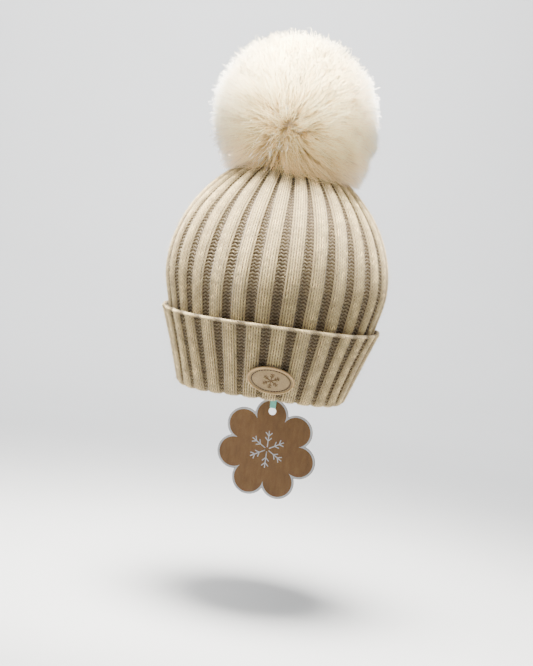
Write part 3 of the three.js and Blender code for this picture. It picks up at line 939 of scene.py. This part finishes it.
def build_patch():
    rings, columns = 70, 220
    share = np.linspace(0, 1, rings)[:, None]
    angle = TAU * np.arange(columns) / columns
    x, y = patch_oval(share, angle)
    motif = snowflake_depth(x, y, 6.2 * MM, 0.3 * MM)
    groove = np.exp(-(((share - PATCH_GROOVE) / 0.03) ** 2)) + 0 * angle
    edge = np.clip((share - 0.97) / 0.03, 0, 1) ** 2 + 0 * angle
    top = PATCH_THICK - 0.5 * MM * motif - 0.3 * MM * groove - 0.9 * MM * edge
    front = np.stack([x, y, top], -1)
    back = np.stack([x, y, 0 * top], -1)[::-1]
    loop = wrapped_on_cuff(np.concatenate([front, back]))
    faces = [grid_faces(2 * rings, columns, closed_columns=True)]
    pressed = np.concatenate([np.maximum(motif, 0.5 * groove), 0 * motif])
    leather = leatherette_material("tan_leatherette", (0.32, 0.22, 0.098), (0.24, 0.16, 0.068))
    face = mesh_object("patch_face", loop, faces, leather, {"pressed": pressed})
    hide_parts("patch")
    angle = TAU * np.arange(480) / 480
    height = PATCH_THICK - 0.1 * MM + 0 * angle
    rim = wrapped_on_cuff(np.stack([*patch_oval(0.945, angle), height], -1))
    rim_leather = leatherette_material("tan_leatherette_rim", (0.50, 0.33, 0.145), (0.38, 0.24, 0.10))
    bead = tube_object("patch_rim", rim[None], 0.75 * MM, FRONT, 10, rim_leather, closed=True)
    for piece in (face, bead, patch_stitches()):
        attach(piece, "hat")


def patch_oval(share, angle):
    """Points (along, up) at a share of the way from the patch's centre to its edge."""
    return share * PATCH_WIDTH / 2 * np.cos(angle), share * PATCH_HEIGHT / 2 * np.sin(angle)


def patch_stitches():
    """Dashes of dark thread that dip into the groove at both ends."""
    count, steps = 42, 9
    along = np.linspace(0.17, 0.83, steps)
    angle = TAU * (np.arange(count)[:, None] + along) / count
    arch = PATCH_THICK - 0.35 * MM + 0.5 * MM * np.sin(math.pi * np.linspace(0, 1, steps))
    paths = wrapped_on_cuff(np.stack([*patch_oval(PATCH_GROOVE, angle), arch + 0 * angle], -1))
    dark = thread_material("dark_thread", (0.035, 0.02, 0.01), (0.10, 0.06, 0.03))
    dashes = tube_object("patch_stitches", paths, 0.36 * MM, FRONT, 6, dark)
    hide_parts("patch_thread")
    return dashes


# ------ the swing tag


def at_tag(points):
    """Points of the tag's own frame (across, back, up) in the hat's frame."""
    return np.stack([*rotated(points[..., 0], points[..., 1], TAG_AZIMUTH), points[..., 2]], -1)


def ribbon_route():
    """From the pin's wire down, through the top of the card's hole and back up to the wire."""
    half = 1.0 * MM
    low = HOLE_HEIGHT + HOLE_RADIUS - 0.3 * MM + half - RIBBON_THICK / 2
    over = [(half * math.cos(a), PIN_HEIGHT + half * math.sin(a)) for a in np.linspace(TAU / 4, 0, 7)]
    down = over + [(half, z) for z in np.linspace(PIN_HEIGHT, low, 12)[1:]]
    under = [(half * math.cos(a), low - half * math.sin(a)) for a in np.linspace(0, TAU / 2, 11)[1:]]
    up = [(-y, z) for y, z in down[-2::-1]]
    return np.array([(0, TAG_RADIUS + y, z) for y, z in down + under + up])


def build_ribbon():
    route = ribbon_route()
    steps = arc_lengths(route)
    length = steps[-1]
    fine = np.linspace(0, length, 420)
    middle = sampled(fine, steps, route)
    tangent = unit(np.gradient(middle, axis=0))
    sideways = np.array([RIBBON_WIDTH / 2, 0, 0])
    outward = unit(np.cross(tangent, sideways))
    weave = 0.06 * MM
    thick = RIBBON_THICK / 2 - weave + weave * np.cos(TAU * fine / (0.55 * MM))
    section = [(-1, 0), (-0.94, 0.8), (-0.8, 1), (0, 1), (0.8, 1), (0.94, 0.8), (1, 0)]
    section += [(-x, -y) for x, y in section[1:-1]]
    rows = [middle + sideways * x + outward * thick[:, None] * y for x, y in section]
    points = at_tag(np.stack(rows, 1))
    ribbon = mesh_object("ribbon", points, capped_faces(len(fine), len(section)), ribbon_material())
    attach(ribbon, "tag_loop")
    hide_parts("tag_ribbon")
    path = [tuple(point) for point in at_tag(route)]
    return ribbon, path, float(length)


def lobed_outline(inset):
    """The card's scalloped edge, moved in by inset, as (across, up) about the card's centre."""
    step = TAU / CARD_LOBES
    radius = LOBE_RADIUS - inset
    spread = step / 2 + math.asin(LOBE_REACH / radius * math.sin(step / 2))
    outline = []
    for i in range(CARD_LOBES):
        middle = TAU / 4 + i * step
        angle = np.linspace(middle - spread, middle + spread, 25)[:-1]
        x = LOBE_REACH * math.cos(middle) + radius * np.cos(angle)
        y = LOBE_REACH * math.sin(middle) + radius * np.sin(angle)
        outline.extend(zip(x, y))
    return outline


def circle(radius, up):
    angle = TAU * np.arange(48) / 48
    return np.stack([radius * np.cos(angle), up + radius * np.sin(angle)], -1)


def cut_sheet(name, outlines, thick, made_of, bevel=0.0):
    """A flat sheet in the tag's plane: the first outline filled, with the others as holes."""
    data = bpy.data.curves.new(name, "CURVE")
    data.dimensions = "2D"
    data.fill_mode = "BOTH"
    data.extrude = thick / 2 - bevel
    data.bevel_depth = bevel
    data.bevel_resolution = 1
    for outline in outlines:
        spline = data.splines.new("POLY")
        spline.points.add(len(outline) - 1)
        for point, (x, y) in zip(spline.points, outline):
            point.co = (x, y, 0, 1)
        spline.use_cyclic_u = True
    flat = bpy.data.objects.new(name, data)
    bpy.context.collection.objects.link(flat)
    graph = bpy.context.evaluated_depsgraph_get()
    mesh = bpy.data.meshes.new_from_object(flat.evaluated_get(graph))
    bpy.data.objects.remove(flat)
    x, y, z = vertices(mesh).T
    points = at_tag(np.stack([x, TAG_RADIUS - z, CARD_HEIGHT + y], -1))
    mesh.vertices.foreach_set("co", points.ravel())
    mesh.materials.clear()
    mesh.materials.append(made_of)
    sheet = bpy.data.objects.new(name, mesh)
    bpy.context.collection.objects.link(sheet)
    return sheet


def snowflake_lines(size):
    """Centre lines of a snowflake's arms and twigs, as pairs of points."""
    lines = []
    for arm in range(6):
        turn = TAU * arm / 6 + TAU / 4
        stem = np.array([math.cos(turn), math.sin(turn)]) * size
        lines.append((0.12 * stem, stem))
        for start in TWIGS:
            for side in (-1, 1):
                lean = turn + side * TAU / 8
                twig = np.array([math.cos(lean), math.sin(lean)]) * 0.26 * size
                lines.append((start * stem, start * stem + twig))
    return lines


def build_card():
    hole = circle(HOLE_RADIUS, CARD_DROP)
    kraft = kraft_material()
    printed = card_print_material()
    body = cut_sheet("card_body", [lobed_outline(0), hole], CARD_THICK, kraft, 0.12 * MM)
    proud = CARD_THICK + 0.06 * MM
    border = cut_sheet("card_border", [lobed_outline(0.15 * MM), lobed_outline(1.5 * MM)], proud, printed)
    rings = [circle(HOLE_RADIUS + wider, CARD_DROP) for wider in (0.9 * MM, 0.2 * MM)]
    eyelet = cut_sheet("card_eyelet", rings, proud, kraft)
    motif = snowflake_print(printed)
    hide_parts("tag_card")
    for piece in (body, border, eyelet, motif):
        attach(piece, "tag")
    return [body, border, eyelet, motif]


def snowflake_print(made_of):
    """The card's printed snowflake, on both faces."""
    paths = []
    for start, end in snowflake_lines(15 * MM):
        for face in (-1, 1):
            back = TAG_RADIUS + face * (CARD_THICK / 2 - 0.35 * MM)
            line = np.linspace(start, end, 6)
            paths.append(np.stack([line[:, 0], back + 0 * line[:, 0], CARD_HEIGHT + line[:, 1]], -1))
    paths = at_tag(np.array(paths))
    return tube_object("card_snowflake", paths, 0.75 * MM, at_tag(-FRONT), 12, made_of, flat=0.55)


# ------ the lining and its label


def lining_surface():
    """The fleece's middle, from its hem over the band to its flat apex."""
    middle = body_middle().moved(-(KNIT / 2 + LINING_GAP + FLEECE / 2)).line
    start = int(np.argmax(middle[:, 1] > LINING_HEM))
    line = middle[start:]
    line = line[: int(np.argmax((line[:, 0] < LINING_FLAT) & (line[:, 1] > LINING_JOIN)))]
    flat = [(radius * MM, LINING_TOP) for radius in (17, 12, 6, 0.2)]
    return Surface(np.vstack([line, flat]))


def fleece_piece(name, first, last, start, end, node_name, rows, columns):
    """A piece of fleece between two arc lengths and two angles, puckered at its seams."""
    s = np.linspace(first, last, rows)[:, None]
    angle = np.linspace(start, end, columns)
    along = np.minimum(np.arange(columns), np.arange(columns)[::-1]) / columns
    around = end - start > TAU - 0.01
    seam = 0 * angle if around else np.exp(-((along / 0.02) ** 2))
    fluff = random.normal(0, 0.12 * MM, (rows, columns))
    pucker = 0.35 * MM * seam * np.sin(TAU * s / (6 * MM))
    inner = LINING.place(s, angle, -FLEECE / 2 + fluff + pucker - 0.2 * MM * seam)
    outer = LINING.place(s, angle, FLEECE / 2)
    if around:
        inner, outer = inner[:, :-1], outer[:, :-1]
    piece = thick_sheet(name, outer, inner, FLEECE_MATERIAL, around)
    if around:
        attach(piece, "hat")
    else:
        follow_crown(piece)
    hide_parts(node_name)
    wide = LINING.radius(np.linspace(first, last, 60)) * (end - start)


def zigzag(name, middle, across, ups, node_name):
    """A zigzag seam of thread along a line of points."""
    width = 1.4 * MM
    pitch = 2.2 * MM
    steps = arc_lengths(middle)
    count = int(steps[-1] / pitch) * 4
    fine = np.linspace(0, steps[-1], count)
    swing = width * np.sin(TAU * np.arange(count) / 4)[:, None]
    path = sampled(fine, steps, middle) + across * swing
    seam = tube_object(name, path[None], 0.3 * MM, sampled(fine, steps, ups)[None], 6, THREAD_MATERIAL)
    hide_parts(node_name)
    return seam


def ring_seam(name, height, node_name):
    """A zigzag round the lining's inside at a height."""
    s = LINING.at_height(height)
    angle = np.linspace(0, TAU, 361)
    middle = LINING.place(s, angle, -FLEECE / 2 - 0.15 * MM)
    seam = zigzag(name, middle, np.array([0, 0, 1.0]), -LINING.outward(s, angle), node_name)
    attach(seam, "hat")


def arch_seam(name, angle, drop, node_name):
    """A zigzag over the lining's inside from one side to the other."""
    s = np.linspace(LINING.at_height(LINING_JOIN + 3 * MM), LINING.length, 160)
    inward = -FLEECE / 2 - 0.15 * MM - drop
    other = angle + math.pi
    middle = np.concatenate([LINING.place(s, angle, inward), LINING.place(s, other, inward)[-2::-1]])
    across = np.array([math.cos(angle), math.sin(angle), 0.0])
    ups = -np.concatenate([LINING.outward(s, angle), LINING.outward(s, other)[-2::-1]])
    seam = zigzag(name, middle, across, ups, node_name)
    follow_crown(seam)


def build_label():
    """The blank care label: one strip of satin, folded, with both ends in the seam."""
    low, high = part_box("care_label")
    width, drop, apart = 17.6 * MM, high[2] - low[2], 0.45 * MM
    steps = 60
    fold = [(apart * math.cos(a), apart * math.sin(a)) for a in np.linspace(0, math.pi, 12)]
    down = [(apart + 0.25 * MM * math.sin(4 * t), drop * (1 - t)) for t in np.linspace(0, 1, steps)]
    up = [(-apart, drop * t) for t in np.linspace(0, 1, steps)]
    line = np.array([*down[:-1], *[(x, -y) for x, y in fold], *up[1:]])
    across = np.linspace(-0.5, 0.5, 25) * width
    s = LINING.at_height(high[2]) - (drop - line[:, 1])
    away = 1.0 * MM + line[:, 0]
    angle = math.pi + across / LINING.radius(s.mean())
    tangent = unit(np.gradient(line, axis=0))
    sheets = []
    for side in (0.1 * MM, -0.1 * MM):
        shifted = away + side * tangent[:, 1]
        sheets.append(LINING.place(s[:, None], angle, -FLEECE / 2 - shifted[:, None]))
    label = thick_sheet("care_label_satin", *sheets, satin_material())
    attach(label, "hat")
    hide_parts("care_label")


def build_lining():
    join = LINING.at_height(LINING_JOIN)
    fleece_piece("fleece_band", 0, join - 0.15 * MM, 0, TAU, "lining_band", 26, 361)
    slit = 0.004  # half the angle between neighbouring gores
    for i, side in enumerate(("front_right", "back_right", "back_left", "front_left")):
        ends = (i * TAU / 4 + slit, (i + 1) * TAU / 4 - slit)
        low = join + 0.15 * MM
        fleece_piece(f"fleece_gore_{side}", low, LINING.length, *ends, f"lining_gore_{side}", 110, 90)
    ring_seam("hem_seam", LINING_HEM + 1.5 * MM, "lining_hem_thread")
    ring_seam("join_seam", LINING_JOIN, "lining_join_thread")
    arch_seam("side_seam", TAU / 4, 0, "gore_thread_side_to_side")
    arch_seam("middle_seam", 0, 0.5 * MM, "gore_thread_front_to_back")
    build_label()


# ------ the snap


def refinish(made_of, *node_names):
    """Gives CAD nodes that stay a procedural material."""
    for node_name in node_names:
        materials = bpy.data.objects[node_name].data.materials
        materials.clear()
        materials.append(made_of)


def build_snap():
    nickel = metal_material("nickel_plate", (0.50, 0.50, 0.51), (0.70, 0.70, 0.71), 0.28)
    refinish(nickel, "snap_socket_cap", "snap_socket", "snap_spring", "snap_stud", "snap_stud_cap")
    brass = metal_material("pin_brass", (0.55, 0.36, 0.13), (0.80, 0.58, 0.28), 0.25)
    refinish(brass, "tag_pin_wire", "tag_pin_cap")
    refinish(felt_material(), "crown_backing_disc")
    refinish(plastic_material(), "pom_base_disc")
    refinish(THREAD_MATERIAL, "pom_drawstring", "back_seam_thread", "crown_gather_thread")


# ------ assembly

make_camera()
ribbon, ribbon_path, ribbon_length = build_ribbon()
card_pieces = build_card()
make_light()
make_floor()

YARN_MATERIAL = yarn_material()
GROUND_MATERIAL = ground_material()
FLEECE_MATERIAL = fleece_material()
THREAD_MATERIAL = thread_material("oatmeal_thread", (0.42, 0.34, 0.22), (0.62, 0.53, 0.38))
CUFF = cuff_outside()
LINING = lining_surface()

build_knit()
build_pom()
build_patch()
build_lining()
build_snap()
